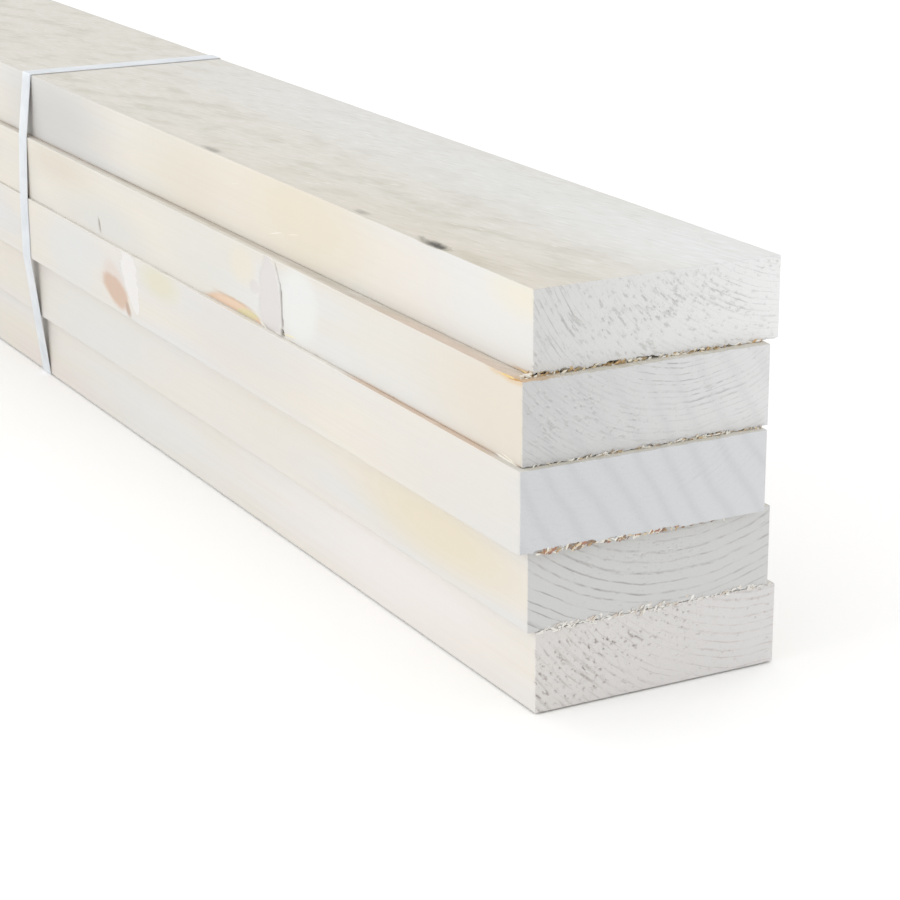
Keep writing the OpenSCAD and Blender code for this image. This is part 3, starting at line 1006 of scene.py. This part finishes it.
def tornFibres():
    # fibres all over the sawn top, along its slanting grain
    look = tornFibreLook
    chance = np.random.default_rng(7)
    heap = {"points": [], "faces": [], "paint": []}
    top = places["board_5_top"]
    for k in range(look["onTop"]):
        x = chance.uniform(-0.492, 0.49) * top["length"]
        y = chance.uniform(-0.46, 0.48) * top["width"]
        turn = math.radians(chance.normal(spruceLook["fleckTurn"], look["topSwing"]))
        long = chance.uniform(*look["topLong"])
        root = onBoard("board_5_top", x, y, top["thick"] - 0.3)
        tip = root + np.array([math.cos(turn), math.sin(turn), 0]) * long * chance.choice([-1, 1])
        tip[2] += chance.uniform(*look["topLift"])
        wide, high = chance.uniform(*look["topWide"]), chance.uniform(*look["topHigh"])
        addSliver(heap, root, tip, np.array([0, 0, 1.0]), wide, high, chance.choice(look["topTones"]))
    return heap


def jointSplinters():
    # short broken fibres that fill the worn gaps, rooted where the upper board ends
    look = tornFibreLook
    chance = np.random.default_rng(19)
    heap = {"points": [], "faces": [], "paint": []}
    farthest = [cadBox[0][0] / mm + 0.6, cadBox[1][0] / mm - 0.6]
    for (below, above), gap in jointGaps.items():
        across, heights = zip(*gap["gap"])
        under, over = places[below], places[above]
        for end in (1, -1):
            cut = end * over["middle"][0] + over["length"] / 2
            for k in range(gap["splinters"]):
                y = chance.uniform(-0.485, 0.485) * under["width"]
                gapHigh = float(np.interp(end * y, across, heights))
                if chance.random() > gapHigh / look["jointFull"]:
                    continue
                slope = math.radians(chance.normal(*look["jointSlope"]))
                long = chance.uniform(*look["jointLong"]) + gapHigh * chance.uniform(0.2, 0.8)
                depth = chance.uniform(-0.5, 0.5 + gapHigh * 0.6)
                up = chance.uniform(-0.4, 0.7) * gapHigh * gap["spread"]
                middle = np.array([end * (cut - depth), under["middle"][1] + y, over["under"] + up])
                lean = chance.uniform(*look["jointLean"])
                half = np.array([end * lean, long * math.cos(slope) / 2 * end, long * math.sin(slope) / 2])
                ends = np.array([middle - half, middle + half])
                ends[:, 0] = np.clip(ends[:, 0], *farthest)
                wide = chance.uniform(*look["jointWide"]) * (0.7 + 0.3 * gapHigh)
                addSliver(heap, *ends, np.array([float(end), 0.05, 0.1]), wide,
                          chance.uniform(*look["jointHigh"]), chance.choice(gap["tones"]))
    for board, *ends, wide, tone in sideSplinters:
        place = places[board]
        front = look["sideSunk"] - place["width"] / 2
        root, tip = (onBoard(board, markPlane - along - place["middle"][0], front, up) for along, up in ends)
        addSliver(heap, root, tip, np.array([0, -1.0, 0]), wide, look["sideHigh"], tone)
    return heap


def tornSpruce():
    # fibres pulled out by the saw: thin, dry and nearly white where they catch the light
    material = newMaterial("torn_spruce_fibre")
    tone = addNode(material, "Attribute", attribute_name="paint")
    coords = addNode(material, "TexCoord").outputs["Object"]
    strands = addNode(material, "TexNoise", {"Vector": coords, "Scale": 1000 / tornFibreLook["strand"],
                                             "Detail": 2.0})
    fine = addNode(material, "MapRange", {"Value": strands, "From Min": 0.3, "From Max": 0.7,
                                          "To Min": 0.9, "To Max": 1.04})
    colour = addNode(material, "VectorMath", {0: tone, 1: fine}, operation="MULTIPLY")
    bump = addNode(material, "Bump", {"Height": strands, "Strength": 0.3, "Distance": 0.0001})
    return finishMaterial(material, {"Base Color": colour, "Roughness": 0.7, "IOR": 1.5, "Normal": bump})


fibreMaterial = tornSpruce()
for pieceName, heap in (("sawn_top_fibres", tornFibres()), ("joint_splinters", jointSplinters())):
    piece = addMesh(pieceName, np.array(heap["points"]) * mm, heap["faces"], [0] * len(heap["faces"]),
                    {"paint": heap["paint"]})
    piece.data.materials.append(fibreMaterial)
    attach(piece, "root")
    print("stage 3:", pieceName, len(piece.data.polygons), "faces")


strapLook = {
    "tone": "dbdcdf",
    "dustTone": "d0d2d6",
    "rough": 0.34,
    "emboss": 1.6,         # mm from one pressed diamond to the next
    "dust": 17,            # mm across a patch of dust
    "corner": 7,           # points round each corner
    "step": 6.0,           # mm between points along the straights
    "weldLong": 38,        # mm
    # its section with rounded edges, across and up as shares of its width and thickness
    "section": [(-0.5, 0), (-0.49, 0.32), (-0.455, 0.5), (-0.25, 0.5), (0, 0.5), (0.25, 0.5), (0.455, 0.5),
                (0.49, 0.32), (0.5, 0), (0.49, -0.32), (0.455, -0.5), (0, -0.5), (-0.455, -0.5),
                (-0.49, -0.32)],
}


def hullOf(spots):
    # the outline that a tight band takes round some points, anticlockwise: first below them, then above
    spots = sorted(set(spots))

    def half(order):
        chain = []
        for y, z in order:
            while len(chain) > 1:
                (y0, z0), (y1, z1) = chain[-2:]
                if (y1 - y0) * (z - z0) - (z1 - z0) * (y - y0) > 1e-9:
                    break
                chain.pop()     # the band doesn't touch this one
            chain.append((y, z))
        return chain[:-1]

    return half(spots) + half(spots[::-1])


def strapPath(x, reach):
    # places along the strap's middle line, with the way outwards at each
    spots = []
    for name in boardNames:
        place = places[name]
        y = place["middle"][1] + (x - place["middle"][0]) * math.tan(place["angle"])
        half = place["width"] / 2 / math.cos(place["angle"])
        for z in (place["under"], place["under"] + place["thick"]):
            spots += [(y - half, z), (y + half, z)]
    corners = hullOf(spots)
    path = []
    for k, here in enumerate(corners):
        runIn = np.subtract(here, corners[k - 1])
        runOut = np.subtract(corners[(k + 1) % len(corners)], here)
        first = math.atan2(runIn[1], runIn[0]) - math.pi / 2
        turn = (math.atan2(runOut[1], runOut[0]) - math.atan2(runIn[1], runIn[0])) % (2 * math.pi)
        steps = max(1, round(strapLook["corner"] * turn / (math.pi / 2)))
        for s in range(steps + 1):
            angle = first + turn * s / steps
            out = np.array([math.cos(angle), math.sin(angle)])
            path.append((here + out * reach, out))
        count = round(np.hypot(*runOut) / strapLook["step"])
        for s in range(1, count):
            path.append((here + runOut * s / count + out * reach, out))
    return path


def strapRing(path, x, wide, thick, points, faces, closed):
    # sweeps the strap's section along the path, as a loop or as a length with closed ends
    section = strapLook["section"]
    first, count, rows = len(points), len(section), len(path)
    for spot, out in path:
        for across, up in section:
            away = spot + out * up * thick
            points.append((x + across * wide, away[0], away[1]))
    for k in range(rows if closed else rows - 1):
        here, after = first + k * count, first + (k + 1) % rows * count
        for s in range(count):
            t = (s + 1) % count
            faces.append([here + s, after + s, after + t, here + t])
    if not closed:
        faces.append([first + s for s in range(count)])
        faces.append([first + (rows - 1) * count + s for s in reversed(range(count))])


def buildStrap(nodeName):
    # the strap's width, thickness and place are those of its CAD solid
    corners = solidCorners(nodeName)
    low, high = corners.min(0), corners.max(0)
    x, wide = (low[0] + high[0]) / 2, high[0] - low[0]
    stackTop = places["board_5_top"]["under"] + places["board_5_top"]["thick"]
    inner = corners[corners[:, 2] > stackTop + 0.01, 2].min()     # the height of its inner face over the pile
    thick = high[2] - inner
    path = strapPath(x, inner - stackTop + thick / 2)
    points, faces = [], []
    strapRing(path, x, wide, thick, points, faces, True)
    # the free end lies welded on the outside, half way up the back
    middle = (low[2] + high[2]) / 2
    back = [(spot + out * thick, out) for spot, out in path
            if out[0] > 0.9 and abs(spot[1] - middle) < strapLook["weldLong"] / 2]
    strapRing(back, x, wide, thick, points, faces, False)
    pieceName = nodeName.replace("strap", "plastic_strap")
    return addMesh(pieceName, np.array(points) * mm, faces, [0] * len(faces), {})


def embossedPolypropylene():
    # polypropylene strapping: milky white, a soft shine broken up by a pressed diamond pattern
    look = strapLook
    material = newMaterial("embossed_polypropylene")
    coords = addNode(material, "TexCoord").outputs["Object"]
    grooves = []
    for turn in (45, -45):
        turned = addNode(material, "Mapping", {"Vector": coords,
                                               "Rotation": (math.radians(turn), 0, math.radians(turn))})
        wave = addNode(material, "TexWave", {"Vector": turned, "Scale": waveScale(look["emboss"])},
                       bands_direction="X")
        grooves.append(wave.outputs["Fac"])
    crossed = addNode(material, "Math", {0: grooves[0], 1: grooves[1]}, operation="MULTIPLY")
    dust = addNode(material, "TexNoise", {"Vector": coords, "Scale": 1000 / look["dust"], "Detail": 4.0})
    tone = addNode(material, "ValToRGB", {"Fac": dust})
    rampStops(tone, [(0.3, look["dustTone"]), (0.6, look["tone"])])
    dull = addNode(material, "MapRange", {"Value": dust, "From Min": 0.3, "From Max": 0.7,
                                          "To Min": look["rough"] + 0.12, "To Max": look["rough"] - 0.04})
    bump = addNode(material, "Bump", {"Height": crossed, "Strength": 0.35, "Distance": 0.0002})
    return finishMaterial(material, {"Base Color": tone, "Roughness": dull, "IOR": 1.49, "Normal": bump,
                                     "Subsurface Weight": 0.1})


strapMaterial = embossedPolypropylene()
for nodeName in ("strap_near", "strap_far"):
    strap = buildStrap(nodeName)
    strap.data.materials.append(strapMaterial)
    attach(strap, "root")
    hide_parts(nodeName)
    print("stage 4:", strap.name, len(strap.data.polygons), "faces")


studio = {
    "lens": 104.7, "sensor": 36.0,    # mm
    "azimuth": 61.84, "elevation": 17.77, "roll": -0.25,     # degrees
    "cameraFromCorner": (1.054, -0.604, 0.531),              # m from the pile's near front lower corner
    "cornerWorn": 0.5,                # mm that this corner lies behind the near end
    "floorHalf": 30.0, "floorCells": 24,                     # m from the floor's middle to its edge
    "floorTone": "fcfcfb", "pulpTone": "fdfdfd",
    "sky": 1.03,
    "pulp": 250,                      # mm across a cloud in the paper on the floor
    "softboxes": [
        {"at": (-6.0, -1.55, 1.3), "aim": (0.5, 0, 0.1), "size": (2.4, 2.4), "watts": 80, "tone": "fffcf7"},
        {"at": (1.15, -1.2, 0.65), "aim": (1.1, 0, 0.1), "size": (0.6, 0.6), "watts": 3.2, "tone": "fffcf8"},
        {"at": (-0.3, 2.6, 1.2), "aim": (0.0, 0, 0.1), "size": (1.5, 1.5), "watts": 10, "tone": "ffffff"},
    ],
}


def mattPaper():
    # uncoated white paper: matt, and a little cloudy from its pulp
    material = newMaterial("matt_paper")
    coords = addNode(material, "TexCoord").outputs["Object"]
    pulp = addNode(material, "TexNoise", {"Vector": coords, "Scale": 1000 / studio["pulp"], "Detail": 2.0})
    tone = addNode(material, "ValToRGB", {"Fac": pulp})
    rampStops(tone, [(0.3, studio["floorTone"]), (0.7, studio["pulpTone"])])
    return finishMaterial(material, {"Base Color": tone, "Roughness": 0.95, "Specular IOR Level": 0.1})


def studioFloor():
    # a wide sheet of paper under everything
    half, cells = studio["floorHalf"], studio["floorCells"]
    lines = [half * (2 * k / cells - 1) for k in range(cells + 1)]
    points = [(x, y, 0.0) for x in lines for y in lines]
    faces = []
    for i in range(cells):
        for j in range(cells):
            here, beside = i * (cells + 1) + j, (i + 1) * (cells + 1) + j
            faces.append([here, beside, beside + 1, here + 1])
    floor = addMesh("studio_floor", np.array(points), faces, [0] * len(faces), {})
    floor.data.materials.append(mattPaper())


def studioLight():
    # a white room, and softboxes that no view shows
    scene = bpy.context.scene
    world = bpy.data.worlds.new("white_studio")
    world.use_nodes = True
    background = world.node_tree.nodes["Background"]
    background.inputs["Color"].default_value = hexColour("ffffff")
    background.inputs["Strength"].default_value = studio["sky"]
    scene.world = world
    scene.view_settings.view_transform = "Standard"
    for k, box in enumerate(studio["softboxes"]):
        light = bpy.data.lights.new(f"softbox_{k + 1}", "AREA")
        light.shape = "RECTANGLE"
        light.size, light.size_y = box["size"]
        light.energy = box["watts"]
        light.color = hexColour(box["tone"])[:3]
        lamp = bpy.data.objects.new(light.name, light)
        lamp.location = box["at"]
        lamp.visible_camera = False
        lamp.rotation_euler = (Vector(box["aim"]) - lamp.location).to_track_quat("-Z", "Y").to_euler()
        scene.collection.objects.link(lamp)


def placeCamera():
    # looks down on the near end of the pile from its front corner
    scene = bpy.context.scene
    lens = bpy.data.cameras.new("studio_camera")
    lens.lens = studio["lens"]
    lens.sensor_width = studio["sensor"]
    lens.clip_end = 100.0
    camera = bpy.data.objects.new("studio_camera", lens)
    front = places["board_4"]
    corner = np.array([markPlane - studio["cornerWorn"], front["middle"][1] - front["width"] / 2,
                       places["board_1_bottom"]["under"]]) * mm
    turn = (Matrix.Rotation(math.radians(studio["azimuth"]), 4, "Z")
            @ Matrix.Rotation(math.radians(90 - studio["elevation"]), 4, "X")
            @ Matrix.Rotation(math.radians(studio["roll"]), 4, "Z"))
    camera.matrix_world = Matrix.Translation(Vector(corner) + Vector(studio["cameraFromCorner"])) @ turn
    scene.collection.objects.link(camera)
    scene.camera = camera


studioFloor()
studioLight()
placeCamera()
print("stage 5: floor, light and camera")
